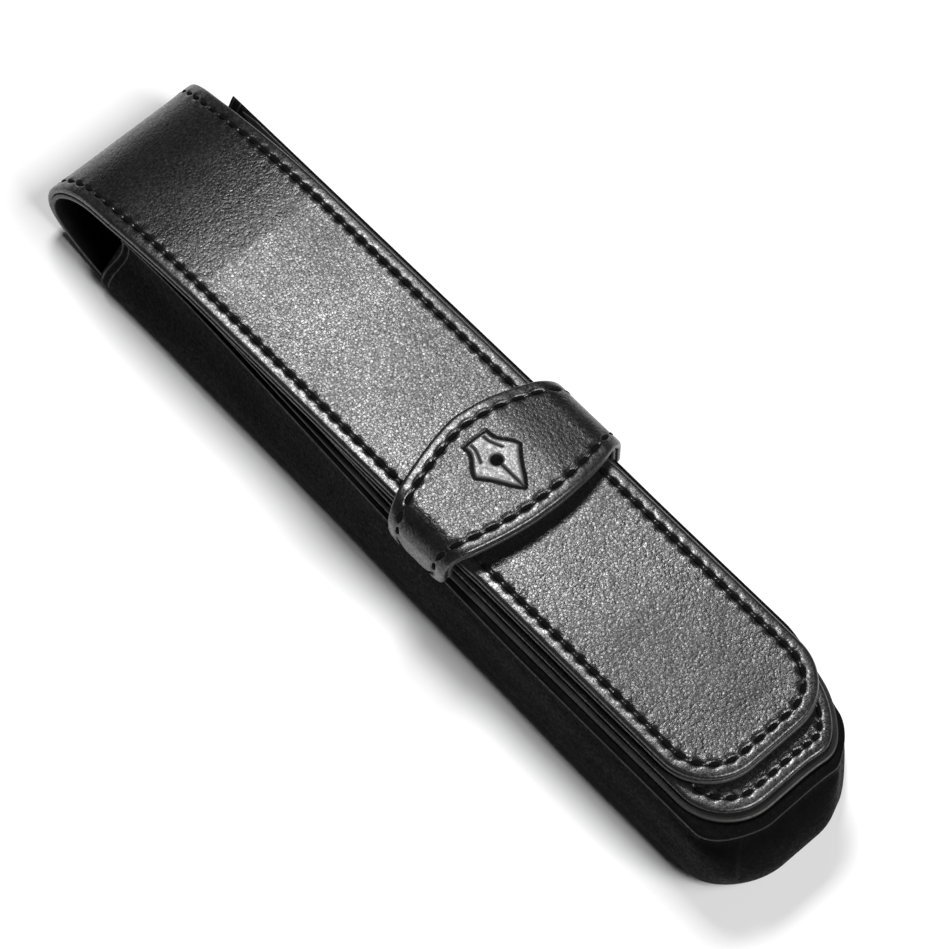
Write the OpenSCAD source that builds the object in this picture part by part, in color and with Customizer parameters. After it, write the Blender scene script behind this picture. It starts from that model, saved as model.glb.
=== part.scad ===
// Single fountain pen case in black leather.
// One stitched strip makes the back, the fold round the open end and the flap.
// A panel and a moulded gusset sewn to the back make the pouch, and a fixed
// band across the pouch keeps the flap down.
// X runs from the fold to the closed end, Y across, Z up; it rests on its back.

/* [Case] */
// Length over the fold and the closed end
case_len = 162; // [150:1:180]
// Height of the closed flap's top face
flap_top = 22.3; // [20:0.1:26]
// Width of the flap
flap_w = 28.5; // [26:0.5:30]
// Distance from the fold's nose to the flap's tip
flap_reach = 150.5; // [140:0.5:152]
// Corner radius of the flap's tip
flap_corner = 9.5; // [5:0.5:12]

/* [Leather] */
// Thickness of the outer leather
leather_t = 1.2; // [0.8:0.1:1.4]
// Thickness of the lining leather
lining_t = 0.8; // [0.5:0.1:1]
// Thickness of the stiffening board in the back
board_t = 0.5; // [0.3:0.1:0.7]
// Air between the flap and what it slides on or under
slide_gap = 0.3; // [0.2:0.05:0.6]

/* [Pouch] */
// Width of the front panel
panel_w = 30.6; // [30:0.2:32]
// Distance from the fold's nose to the front panel's closed end
panel_reach = 156.5; // [154:0.5:158]
// Width over the gusset at its fullest
gusset_w = 34.4; // [33:0.2:35]
// Thickness of the gusset leather
gusset_t = 0.9; // [0.7:0.1:1.2]
// Distance from the fold's nose to the middle of the mouth
mouth_x = 16; // [16:0.5:20]
// Slant of the mouth across the pouch, in degrees
mouth_slant = 6; // [0:1:6]

/* [Keeper band] */
// Distance from the fold's nose to the middle of the band
keeper_x = 91.2; // [88:0.2:100]
// Width of the band over the flap
keeper_mid_w = 21.3; // [18:0.1:26]
// Width of the band at the pouch's sides
keeper_end_w = 14; // [10:0.5:17]

/* [Stitching] */
// Distance between stitches
stitch_pitch = 2.6; // [2.4:0.1:4]
// Inset of a stitch row from its edge
stitch_inset = 2.3; // [2:0.1:2.6]

/* [Hidden] */
$fn = 48;
eps = 0.01;

strip_t = leather_t + lining_t;
flap_under = flap_top - strip_t;
// Where the flap bends when it is bowed up to draw it out of the band
rear_bend = 14;
front_bend = keeper_x - keeper_mid_w / 2 - 2.6;
mid_bend = (rear_bend + front_bend) / 2;
bend_gap = 0.15;

// Pouch heights, from the back up to the panel that the flap lies on
back_top = strip_t;
panel_top = flap_under - slide_gap;
panel_under = panel_top - leather_t + 0.1;
panel_lining_t = 0.7;
gusset_top = panel_under - panel_lining_t;
back_w = 31;
back_reach = 158;
panel_corner = 12;
gusset_corner = 14.5;
gusset_top_w = 32.4;
gusset_foot_w = 33;
gusset_full_z = 7;
gusset_lining_t = 0.6;
flange_w = 4;
// Where the front panel has levelled out and its stitch groove starts
groove_start = 36;

// Band heights
keeper_under = flap_top + 0.8;
keeper_top = keeper_under + strip_t;
keeper_half = gusset_w / 2 + 0.5;
keeper_lip_z = gusset_top - 2;
keeper_round = 4.6;

stitch_l = 1.9;
stitch_w = 0.5;
groove_w = 0.8;
groove_d = 0.4;
stitch_h = 0.3;
black = "#1c1c1e";
dark = "#2a2a2c";
thread = "#0c0c0d";

// ---- curves ----
function bezier(a, b, c, d, t) =
    pow(1 - t, 3) * a + 3 * t * pow(1 - t, 2) * b + 3 * t * t * (1 - t) * c + pow(t, 3) * d;

// Outer face of the fold seen from the side: along the table, round the nose
// and up to the level of the flap
nose_z = 7.5;
curve_steps = 10;
lower = [for (i = [0 : curve_steps])
    bezier([rear_bend, 0], [5, 0], [0, 3], [0, nose_z], i / curve_steps)];
upper = [for (i = [1 : curve_steps + 4])
    bezier([0, nose_z], [0, 15.5], [11, 21], [36, flap_top], i / (curve_steps + 4))];
fold_path = concat(lower, upper);
last = len(fold_path) - 1;
// Number of the path's points before the flap's first bend
bend_index = curve_steps + len([for (p = upper) if (p[0] < rear_bend) 1]);
function tangent(i) = fold_path[min(i + 1, last)] - fold_path[max(i - 1, 0)];
function inward(i) = let (t = i == 0 ? [-1, 0] : i == last ? [1, 0] : tangent(i))
    [t[1], -t[0]] / norm(t);
function depth_curve(d) = [for (i = [0 : last]) fold_path[i] + d * inward(i)];
function reversed(p) = [for (i = [len(p) - 1 : -1 : 0]) p[i]];
// The same curve from over the mouth to the flap's level, then straight on
function top_curve(d, reach) =
    concat([for (p = depth_curve(d)) if (p[0] > rear_bend - 4 && p[1] > nose_z) p],
           [[reach, flap_top - d]]);

// Lengths along the fold's outer face, and the place at a length
function step_len(i) = norm(fold_path[i + 1] - fold_path[i]);
function len_to(i) = i == 0 ? 0 : len_to(i - 1) + step_len(i - 1);
function along(s, i = 0) = s <= step_len(i) || i == last - 1
    ? [fold_path[i] + (fold_path[i + 1] - fold_path[i]) * s / step_len(i), i]
    : along(s - step_len(i), i + 1);

// ---- shared shapes ----
// Everything is drawn from the fold's nose and then centred
module place() {
    translate([-case_len / 2, 0, 0]) children();
}

// Strip with a square start and a round-cornered end
module tongue(start, reach, w, r) {
    translate([start, -w / 2]) square([reach - r - start, w]);
    translate([reach - r - eps, -w / 2 + r]) square([r + eps, w - 2 * r]);
    for (s = [-1, 1])
        translate([reach - r, s * (w / 2 - r)]) circle(r);
}

module slab(z, t) {
    translate([0, 0, z]) linear_extrude(t) children();
}

// Groove that a stitch row lies in, along both sides and round the end
module groove(start, reach, w, r) {
    g = stitch_inset - groove_w / 2;
    difference() {
        tongue(start, reach - g, w - 2 * g, r - g);
        tongue(start - 1, reach - g - groove_w, w - 2 * (g + groove_w), r - g - groove_w);
    }
}

// One row of stitches along both sides and round the end of a tongue
module stitch_row(start, reach, w, r, z, round_end = true) {
    half = w / 2 - stitch_inset;
    bend = r - stitch_inset;
    straight = reach - r - start;
    n = floor(straight / stitch_pitch);
    for (s = [-1, 1], i = [0 : n - 1])
        translate([start + (i + 0.5) * straight / n, s * half, z])
            stitch();
    if (round_end) {
        turns = round(bend * PI / 2 / stitch_pitch);
        for (s = [-1, 1], i = [0 : turns - 1])
            translate([reach - r, s * (half - bend), z])
                rotate([0, 0, s * (90 - (i + 0.5) * 90 / turns)])
                    translate([bend, 0, 0]) rotate([0, 0, 90]) stitch();
        across = 2 * (half - bend);
        m = round(across / stitch_pitch);
        for (i = [0 : m - 1])
            translate([reach - stitch_inset, -across / 2 + (i + 0.5) * across / m, z])
                rotate([0, 0, 90]) stitch();
    }
}

module stitch() {
    translate([-stitch_l / 2, -stitch_w / 2, 0]) cube([stitch_l, stitch_w, stitch_h]);
}

// ---- back and fold ----
module back_plan(grow = 0) {
    tongue(rear_bend, back_reach + grow, back_w + 2 * grow, panel_corner + grow);
}

module back_panel() {
    color(black) place() difference() {
        slab(0, leather_t) back_plan();
        slab(leather_t - board_t, board_t + eps)
            tongue(rear_bend + 4, back_reach - 4, back_w - 8, panel_corner - 4);
        slab(-eps, groove_d + eps) groove(rear_bend - 1, back_reach, back_w, panel_corner);
    }
}

module back_stiffener() {
    color("dimgray") place() slab(leather_t - board_t, board_t)
        tongue(rear_bend + 4, back_reach - 4, back_w - 8, panel_corner - 4);
}

module back_lining() {
    color(dark) place() slab(leather_t, lining_t) back_plan();
}

module back_stitching() {
    color(thread) place()
        stitch_row(rear_bend + 1, back_reach, back_w, panel_corner, groove_d - stitch_h);
}

// The fold is as wide as the flap at the top and widens to the back below
module fold_layer(d0, d1) {
    side = concat(depth_curve(d0), reversed(depth_curve(d1)));
    intersection() {
        rotate([90, 0, 0]) linear_extrude(back_w + 2, center = true) polygon(side);
        union() {
            translate([-eps, -flap_w / 2, -1]) cube([rear_bend - bend_gap, flap_w, flap_top + 2]);
            slab(-1, nose_z + 1) polygon([
                [0, -flap_w / 2], [rear_bend, -back_w / 2],
                [rear_bend, back_w / 2], [0, flap_w / 2]]);
        }
    }
}

module fold_loop() {
    color(black) place() fold_layer(0, leather_t);
}

module fold_loop_lining() {
    color(dark) place() fold_layer(leather_t, strip_t);
}

// Stitches on the outside of the fold, following its curve between two lengths
module curve_stitches(from, to) {
    n = floor((to - from) / stitch_pitch);
    for (k = [0 : n - 1], s = [-1, 1])
        let (spot = along(from + (k + 0.5) * (to - from) / n), i = spot[1],
             t = fold_path[i + 1] - fold_path[i])
            translate([spot[0][0], s * (flap_w / 2 - stitch_inset), spot[0][1]])
                rotate([0, -atan2(t[1], t[0]), 0]) scale([0.8, 1, 0.5]) stitch();
}

module fold_loop_stitching() {
    color(thread) place() curve_stitches(8, len_to(bend_index) - 1);
}

// ---- pouch ----
// Solid filling the gusset, shrunk by inset on the sides and the end
module gusset_fill(inset, z0, z1) {
    hull() {
        slab(z0, eps) gusset_plan(gusset_foot_w - 2 * inset, inset + 0.8);
        slab(gusset_full_z, 2) gusset_plan(gusset_w - 2 * inset, inset);
        slab(z1 - eps, eps) gusset_plan(gusset_top_w - 2 * inset, inset + 3.6);
    }
}

module gusset_plan(w, short) {
    tongue(0, case_len - short, w, gusset_corner - 1, $fn = 32);
}

// Everything above the front panel's lining
module over_panel() {
    roof = top_curve(flap_top - gusset_top, case_len + 1);
    rotate([90, 0, 0]) linear_extrude(gusset_w + 2, center = true)
        polygon(concat([[0, gusset_top + 5], [0, roof[0][1] - 1]], roof,
                       [[case_len + 1, gusset_top + 5]]));
}

// Everything on the fold's side of the slanting mouth
module mouth_side() {
    translate([mouth_x, 0, 0]) rotate([0, 0, mouth_slant])
        translate([-40, -30, 1]) cube([40, 60, 30]);
}

module gusset() {
    wall_top = gusset_top - gusset_t;
    wall_foot = back_top + gusset_t;
    color(black) place() difference() {
        gusset_fill(0, back_top, gusset_top);
        gusset_fill(gusset_t, wall_foot, wall_top);
        slab(0, flap_top) gusset_plan(gusset_top_w - 2 * flange_w, flange_w + 4);
        over_panel();
        mouth_side();
    }
}

module gusset_lining() {
    wall_top = gusset_top - gusset_t;
    wall_foot = back_top + gusset_t;
    color(dark) place() difference() {
        gusset_fill(gusset_t, wall_foot, wall_top);
        gusset_fill(gusset_t + gusset_lining_t, wall_foot - eps, wall_top + eps);
        over_panel();
        mouth_side();
    }
}

module front_plan() {
    tongue(0, panel_reach, panel_w, panel_corner);
}

// Layer of the front panel: it dips under the flap towards the mouth
module front_layer(d0, d1) {
    intersection() {
        slab(0, flap_top) front_plan();
        rotate([90, 0, 0]) linear_extrude(panel_w + 2, center = true)
            polygon(concat(top_curve(d0, case_len), reversed(top_curve(d1, case_len))));
    }
}

module front_panel() {
    color(black) place() difference() {
        front_layer(flap_top - panel_top, flap_top - panel_under);
        slab(panel_top - groove_d, 1) groove(groove_start, panel_reach, panel_w, panel_corner);
        mouth_side();
    }
}

module front_panel_lining() {
    color(dark) place() difference() {
        front_layer(flap_top - panel_under, flap_top - gusset_top);
        mouth_side();
    }
}

module front_panel_stitching() {
    color(thread) place() stitch_row(groove_start + 1, panel_reach, panel_w, panel_corner,
                                     panel_top - groove_d);
}

// ---- keeper band ----
// Plan of the band: both edges are arcs, widest over the flap
module keeper_plan() {
    bow = (keeper_mid_w - keeper_end_w) / 2;
    r = (pow(keeper_half, 2) + bow * bow) / (2 * bow);
    translate([keeper_x, 0]) intersection_for(s = [-1, 1])
        translate([s * (r - keeper_mid_w / 2), 0]) circle(r, $fn = 96);
}

// Arch seen from the end of the case, at depth d inside the band's outer face
module arch(d, foot) {
    half = keeper_half - d;
    r = keeper_round - d;
    top = keeper_top - d;
    translate([-half, foot]) square([2 * half, top - r - foot]);
    intersection() {
        translate([-half, top - r - eps]) square([2 * half, r + eps]);
        union() {
            translate([-half + r, foot]) square([2 * (half - r), top - foot]);
            for (s = [-1, 1])
                translate([s * (half - r), top - r]) circle(r);
        }
    }
}

module keeper_layer(d0, d1, foot) {
    intersection() {
        slab(0, keeper_top + 2) keeper_plan();
        translate([keeper_x, 0, 0]) rotate([90, 0, 90])
            linear_extrude(keeper_mid_w + 4, center = true) difference() {
                arch(d0, foot);
                arch(d1, foot - 1);
            }
    }
}

module keeper() {
    color(black) place() keeper_layer(0, leather_t, keeper_lip_z);
}

module keeper_lining() {
    color(dark) place() keeper_layer(leather_t, strip_t, gusset_top + 0.05);
}

// Two curved rows on the flat of the band
module keeper_stitching() {
    bow = (keeper_mid_w - keeper_end_w) / 2;
    r = (pow(keeper_half, 2) + bow * bow) / (2 * bow);
    row_r = r - stitch_inset;
    reach = keeper_half - keeper_round;
    n = floor(reach / stitch_pitch);
    color(thread) place() translate([keeper_x, 0, keeper_top])
        for (s = [-1, 1], i = [-n : n])
            let (a = asin(i * stitch_pitch / row_r))
                translate([s * (row_r * cos(a) - r + keeper_mid_w / 2),
                           i * stitch_pitch, 0])
                    rotate([0, 0, 90 - s * a]) scale([1, 1, 0.5]) stitch();
}

// ---- flap, in three lengths that bend where the leather does ----
// Layer of the flap between two places along it, following the fold at first
module flap_layer(x0, x1, d0, d1) {
    side = concat(top_curve(d0, flap_reach), reversed(top_curve(d1, flap_reach)));
    intersection() {
        rotate([90, 0, 0]) linear_extrude(flap_w, center = true) polygon(side);
        translate([x0 + bend_gap, -flap_w, nose_z])
            cube([x1 - x0 - 2 * bend_gap, 2 * flap_w, flap_top]);
    }
}

module flap_rear() {
    color(black) place() flap_layer(rear_bend, mid_bend, 0, leather_t);
}

module flap_rear_lining() {
    color(dark) place() flap_layer(rear_bend, mid_bend, leather_t, strip_t);
}

module flap_rear_stitching() {
    color(thread) place() {
        curve_stitches(len_to(bend_index) + 2, len_to(last));
        stitch_row(fold_path[last][0], mid_bend - 0.5, flap_w, 0, flap_top, false);
    }
}

module flap_middle() {
    color(black) place() flap_layer(mid_bend, front_bend, 0, leather_t);
}

module flap_middle_lining() {
    color(dark) place() flap_layer(mid_bend, front_bend, leather_t, strip_t);
}

module flap_middle_stitching() {
    color(thread) place() stitch_row(mid_bend + 0.5, front_bend - 0.5, flap_w, 0, flap_top, false);
}

module tip_plan() {
    tongue(front_bend + bend_gap, flap_reach, flap_w, flap_corner);
}

module flap_tip() {
    color(black) place() difference() {
        slab(flap_top - leather_t, leather_t) tip_plan();
        slab(flap_top - groove_d, 1) groove(front_bend - 1, flap_reach, flap_w, flap_corner);
    }
}

module flap_tip_lining() {
    color(dark) place() slab(flap_under, lining_t) tip_plan();
}

module flap_tip_stitching() {
    color(thread) place() stitch_row(front_bend + 0.5, flap_reach, flap_w, flap_corner,
                                     flap_top - groove_d);
}

back_panel();
back_stiffener();
back_lining();
fold_loop();
fold_loop_lining();
gusset();
gusset_lining();
front_panel();
front_panel_lining();
keeper();
keeper_lining();
back_stitching();
fold_loop_stitching();
front_panel_stitching();
keeper_stitching();
flap_rear();
flap_rear_lining();
flap_rear_stitching();
flap_middle();
flap_middle_lining();
flap_middle_stitching();
flap_tip();
flap_tip_lining();
flap_tip_stitching();
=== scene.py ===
import math

import bmesh
import bpy
import numpy as np
from mathutils import Matrix, Vector, noise


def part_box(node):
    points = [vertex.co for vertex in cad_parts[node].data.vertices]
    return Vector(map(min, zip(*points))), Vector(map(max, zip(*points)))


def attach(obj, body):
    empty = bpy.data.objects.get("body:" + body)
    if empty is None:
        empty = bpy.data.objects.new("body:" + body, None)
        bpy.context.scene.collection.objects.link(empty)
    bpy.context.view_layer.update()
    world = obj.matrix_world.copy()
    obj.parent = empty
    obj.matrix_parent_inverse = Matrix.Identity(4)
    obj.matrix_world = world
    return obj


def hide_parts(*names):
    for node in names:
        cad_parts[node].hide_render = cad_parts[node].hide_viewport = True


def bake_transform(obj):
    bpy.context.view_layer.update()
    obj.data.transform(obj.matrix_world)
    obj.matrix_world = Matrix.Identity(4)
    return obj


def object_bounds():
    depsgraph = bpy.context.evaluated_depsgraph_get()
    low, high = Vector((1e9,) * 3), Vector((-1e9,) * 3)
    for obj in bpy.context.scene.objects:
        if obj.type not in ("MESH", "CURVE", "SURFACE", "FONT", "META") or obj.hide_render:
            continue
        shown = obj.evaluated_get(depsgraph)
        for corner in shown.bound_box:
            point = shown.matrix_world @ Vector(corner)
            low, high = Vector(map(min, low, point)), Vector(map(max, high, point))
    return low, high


# A single fountain pen case in black leather. Shapes are worked out in
# millimetres from the fold's nose: "along" runs down the leather, "across" is
# its width and "rise" is the height over its outer face. Each piece is then
# placed in the row frame in metres.

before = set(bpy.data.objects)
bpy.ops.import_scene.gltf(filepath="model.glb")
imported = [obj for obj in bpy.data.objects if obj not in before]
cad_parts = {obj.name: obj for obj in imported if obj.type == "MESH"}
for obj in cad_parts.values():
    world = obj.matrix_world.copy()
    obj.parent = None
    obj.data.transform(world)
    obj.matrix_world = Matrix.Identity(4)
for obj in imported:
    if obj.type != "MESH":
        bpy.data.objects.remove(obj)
cad_low, cad_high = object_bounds()

MM = 0.001


def box_mm(node):
    low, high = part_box(node)
    return low / MM, high / MM


# ---- sizes from the frame, in millimetres ----
tip_low, tip_high = box_mm("flap_tip")
tip_lining_low = box_mm("flap_tip_lining")[0]
back_high = box_mm("back_panel")[1]
panel_high = box_mm("front_panel")[1]
gusset_high = box_mm("gusset")[1]
keeper_low, keeper_high = box_mm("keeper")
NOSE_X = box_mm("fold_loop")[0].x

# The values named SINK, SLANT, SKEW, FALL, RISE, HIGHER and OUT are where the
# real leather leaves the CAD's straight and symmetric form
LEATHER = tip_high.z - tip_low.z
LINING = tip_low.z - tip_lining_low.z
STRIP = LEATHER + LINING
FLAP_TOP = tip_high.z
FLAP_HALF = tip_high.y
TIP_FURTHER_OUT = 0.7
FLAP_REACH = tip_high.x - NOSE_X + TIP_FURTHER_OUT
FLAP_CORNER = 9.5
BACK_HALF = back_high.y
BACK_REACH = back_high.x - NOSE_X
BACK_CORNER = 12.0
PANEL_HALF = panel_high.y
PANEL_REACH = panel_high.x - NOSE_X
PANEL_CORNER = 9.8
PANEL_TOP = panel_high.z
PANEL_T = 1.1
PANEL_LINING_T = 0.66
GUSSET_HALF = gusset_high.y
GUSSET_REACH = gusset_high.x - NOSE_X
FLAP_GAP = 0.3
PANEL_LINING_ROOM = 0.7
GUSSET_TOP = FLAP_TOP - STRIP - FLAP_GAP - PANEL_T - PANEL_LINING_ROOM
GUSSET_CORNER = 10.2
GUSSET_T = 0.9
MOUTH_X = 14.2
MOUTH_SLANT = 0.22
POUCH_SINK = 0.35
CLOSED_END_SINK = 0.35
KEEPER_X = (keeper_low.x + keeper_high.x) / 2 - NOSE_X
KEEPER_HALF_W = (keeper_high.x - keeper_low.x) / 2
KEEPER_END_HALF_W = 7.0
KEEPER_HALF = keeper_high.y
KEEPER_HIGHER = 1.1
KEEPER_TOP = keeper_high.z + KEEPER_HIGHER
KEEPER_FOOT = keeper_low.z
KEEPER_ROUND = 4.6
KEEPER_FURTHER_OUT = 0.25
KEEPER_SKEW = 0.078
KEEPER_NEAR_SKEW = 0.03
KEEPER_FALL = 1.25
KEEPER_PITCH = 3.0
NEAR_FOOT_RISE = 2.2

# Where the fold starts on the back, its nose's height and where it ends
FOLD_X = 14.0
NOSE_Z = 7.5
FOLD_END_X = 36.0
FOLD_NEAR_SHRINK = 0.042
FOLD_FAR_GROWTH = 0.025
FLAP_DIP = 0.28

# Stitches: how far apart, how long and thick, how far in from the edge, and
# how high a thread's middle line lies at the top of its arch
PITCH = 2.6
STITCH_L = 1.95
THREAD_R = 0.36
STITCH_INSET = 2.3
THREAD_RISE = -0.12

# A lining stands out this far past its leather. BORDER is how wide the strip
# of a sheet is that follows its edge, and STEP is the mesh's usual step
LINING_OUT = 0.12
BORDER = 4.4
STEP = 0.433


# ---- curves ----
def smooth(x, x0, x1):
    """0 up to x0, 1 from x1 on, and an even rise between them."""
    t = np.clip((x - x0) / (x1 - x0), 0, 1)
    return t * t * (3 - 2 * t)


def bezier(points, t):
    """Places at t, from 0 to 1, on the curve over four control points."""
    a, b, c, d = [np.array(p, float) for p in points]
    t = t[:, None]
    return a * (1 - t) ** 3 + 3 * b * t * (1 - t) ** 2 + 3 * c * t * t * (1 - t) + d * t**3


class Path:
    """A curve in a plane by its length, with straight runs past both ends."""

    def __init__(self, points, start=0):
        self.points = points
        steps = np.linalg.norm(np.diff(points, axis=0), axis=1)
        self.length = np.concatenate([[0], np.cumsum(steps)])
        self.length -= self.length[start]
        slope = np.gradient(points, self.length, axis=0)
        self.slope = slope / np.linalg.norm(slope, axis=1)[:, None]

    def at(self, s):
        """Points and unit tangents at lengths s."""
        inside = np.clip(s, self.length[0], self.length[-1])
        p = np.stack([np.interp(inside, self.length, self.points[:, i]) for i in (0, 1)], -1)
        t = np.stack([np.interp(inside, self.length, self.slope[:, i]) for i in (0, 1)], -1)
        t = t / np.linalg.norm(t, axis=-1, keepdims=True)
        return p + (s - inside)[..., None] * t, t


fine = np.linspace(0, 1, 160)
lower_fold = bezier([(FOLD_X, 0), (5, 0), (0, 3), (0, NOSE_Z)], fine)
upper_fold = bezier([(0, NOSE_Z), (0, 15.5), (11, 21), (FOLD_END_X, FLAP_TOP)], fine)
flat_x = np.arange(FOLD_END_X + 0.5, FLAP_REACH, 0.5)
flat_run = np.stack([flat_x, np.full(len(flat_x), FLAP_TOP)], -1)
strip_path = Path(np.concatenate([[(FOLD_X + 0.5, 0)], lower_fold, upper_fold[1:], flat_run]),
                  start=1)
FOLD_LEN = strip_path.length[len(lower_fold) + len(upper_fold) - 1]
LOWER_LEN = strip_path.length[len(lower_fold)]
TIP_A = FOLD_LEN + FLAP_REACH - FOLD_END_X
BACK_A = FOLD_X - BACK_REACH


def pressed(x, y):
    """1 where the keeper presses on the flap, fading out past its edge."""
    edge_bow = 3.6
    leave = KEEPER_X + KEEPER_SKEW * np.maximum(y, 0) + KEEPER_HALF_W
    leave = leave - edge_bow * (y / KEEPER_HALF) ** 2
    return smooth(x, KEEPER_X - 8, KEEPER_X + 2) * (1 - smooth(x, leave - 0.2, leave + 2.9))


def strip_place(a, y, h):
    """The one strip of leather: the back below 0, the fold, then the flap."""
    p, t = strip_path.at(a)
    outward = np.stack([-t[..., 1], t[..., 0]], -1)
    p = p + h[..., None] * outward
    x, z = p[..., 0], p[..., 1]
    fold = 1 - smooth(x, 3, 18)
    y = y * (1 + np.where(y < 0, -FOLD_NEAR_SHRINK, FOLD_FAR_GROWTH) * fold)
    z = z - FLAP_DIP * pressed(x, y) * (a > LOWER_LEN)
    # The back lies flat on the ground
    return np.stack([x, y, np.maximum(z, 0)], -1)


def strip_half(a):
    """Half width: the back's, narrowing to the flap's past the nose."""
    f = np.clip((a - LOWER_LEN + 2) / 18, 0, 1)
    f = f * f * (3 - 2 * f)
    return BACK_HALF + (FLAP_HALF - BACK_HALF) * f


def strip_along(x):
    """Length along the strip of the place on the upper run that is at x."""
    s = np.linspace(LOWER_LEN, TIP_A, 4000)
    return float(np.interp(x, strip_path.at(s)[0][:, 0], s))


def ripple(a, y, scale, seed):
    """Slow waves for soft leather, from -1 to 1 at each place."""
    places = zip(a.ravel(), y.ravel())
    waves = [noise.noise(Vector((p * scale, q * scale, seed))) for p, q in places]
    return np.array(waves).reshape(a.shape)


# ---- mesh helpers ----
def add_mesh(name, verts, faces, material, masks=None, sharp_faces=()):
    """A closed mesh object from points in millimetres from the nose."""
    mesh = bpy.data.meshes.new(name)
    placed = (np.asarray(verts, float) + [NOSE_X, 0, 0]) * MM
    mesh.from_pydata(placed.tolist(), [], [list(f) for f in faces])
    rest = mesh.attributes.new("rest", "FLOAT_VECTOR", "POINT")
    rest.data.foreach_set("vector", np.asarray(verts, np.float32).ravel())
    for key, values in (masks or {}).items():
        layer = mesh.attributes.new(key, "FLOAT", "POINT")
        layer.data.foreach_set("value", np.asarray(values, np.float32))
    bm = bmesh.new()
    bm.from_mesh(mesh)
    bm.faces.ensure_lookup_table()
    for face in bm.faces:
        face.smooth = True
    for index in sharp_faces:
        for edge in bm.faces[index].edges:
            edge.smooth = False
    bmesh.ops.recalc_face_normals(bm, faces=bm.faces)
    bm.to_mesh(mesh)
    bm.free()
    mesh.materials.append(material)
    obj = bpy.data.objects.new(name, mesh)
    bpy.context.scene.collection.objects.link(obj)
    return obj


class Edge:
    """The outline of a sheet: near side, round end if it has one, far side.

    For each of its points it holds the place, the direction inwards and the
    count of stitches from the near corner."""

    def __init__(self, stations, half, reach=None, corner=0, columns=22, pitch=PITCH,
                 step=STEP):
        a = np.asarray(stations, float)
        near = np.stack([a, -half(a)], -1)
        inward = np.tile([0.0, 1.0], (len(a), 1))
        count = (a - a[-1]) / pitch
        self.columns = columns
        self.rounded = reach is not None
        if self.rounded:
            end_half = float(half(np.array([reach]))[0])
            flat = end_half - corner
            turns = max(4, int(corner * math.pi / 2 / step))
            angle = np.linspace(-math.pi / 2, 0, turns + 1)[1:]
            arc = np.stack([reach - corner + corner * np.cos(angle),
                            -flat + corner * np.sin(angle)], -1)
            line_y = np.linspace(-flat, flat, columns + 1)[1:-1]
            line = np.stack([np.full(len(line_y), reach), line_y], -1)
            arc_in = np.stack([-np.cos(angle), -np.sin(angle)], -1)
            line_in = np.tile([-1.0, 0.0], (len(line_y), 1))
            bend = corner - STITCH_INSET
            end_len = math.pi * bend + 2 * flat
            self.end_stitches = max(1, round(end_len / pitch))
            scale = self.end_stitches / end_len
            arc_count = (angle + math.pi / 2) * bend * scale
            line_count = (math.pi / 2 * bend + line_y + flat) * scale
            near = np.concatenate([near, arc])
            inward = np.concatenate([inward, arc_in])
            count = np.concatenate([count, arc_count])
            middle, middle_in, middle_count = line, line_in, line_count
        else:
            self.end_stitches = 0
            middle = np.zeros((0, 2))
            middle_in = np.zeros((0, 2))
            middle_count = np.zeros(0)
        self.near_n = len(near)
        flip = [1, -1]
        self.point = np.concatenate([near, middle, near[::-1] * flip])
        self.inward = np.concatenate([inward, middle_in, inward[::-1] * flip])
        self.count = np.concatenate([count, middle_count, self.end_stitches - count[::-1]])

    def by_count(self, values, count):
        """Values that belong to the outline's points, read at a stitch count."""
        order = np.argsort(self.count, kind="stable")
        c = self.count[order]
        return np.array([np.interp(count, c, values[order, i]) for i in (0, 1)])

    def place_at(self, count, inset):
        """The place at a stitch count, a distance in from the edge."""
        return self.by_count(self.point + self.inward * inset, count)

    def inward_at(self, count):
        """The direction inwards at a stitch count."""
        n = self.by_count(self.inward, count)
        return n / np.linalg.norm(n)


def lump(count):
    """1 between two stitches, 0 at the middle of a stitch."""
    return 0.5 + 0.5 * np.cos(2 * math.pi * count)


def leather_section(thick, puff=0.30):
    """A sheet's section at its edge: inset and rise from the middle of the
    underside, round the edge, over the crown and across the stitch groove.
    The third number is how much of the puff between two stitches it gets."""
    groove, crown = 0.48, 0.04
    sewn = STITCH_INSET
    under = [(BORDER, -thick, 0), (1.4, -thick, 0), (0.35, -thick + 0.02, 0),
             (0.1, -thick + 0.22, 0)]
    edge = [(0.0, -thick * 0.5, 0), (0.06, -thick * 0.5 + 0.22, 0)]
    face = [(0.2, -0.14, 0), (0.4, -0.01, 0), (0.7, crown, 0.03),
            (1.3, crown, 0.08), (sewn - 0.55, crown * 0.5, 0.2),
            (sewn - 0.32, -groove * 0.4, 0.9), (sewn - 0.17, -groove * 0.92, 1.5),
            (sewn, -groove, 1.6), (sewn + 0.17, -groove * 0.92, 1.5),
            (sewn + 0.32, -groove * 0.4, 0.9), (sewn + 0.55, 0.0, 0.3),
            (3.5, crown * 0.3, 0.1), (BORDER, 0.0, 0)]
    rows = np.array(under + edge + face)
    rows[:, 2] *= puff
    return rows


def plain_section(thick):
    """A sheet's section with a plain rounded edge and no stitches."""
    soft = 0.25
    rows = [(BORDER, -thick, 0), (soft, -thick, 0), (soft * 0.3, -thick + soft * 0.3, 0),
            (0, -thick / 2, 0), (soft * 0.3, -soft * 0.3, 0), (soft, 0, 0),
            (soft * 3, 0, 0), (BORDER, 0, 0)]
    return np.array(rows)


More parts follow.
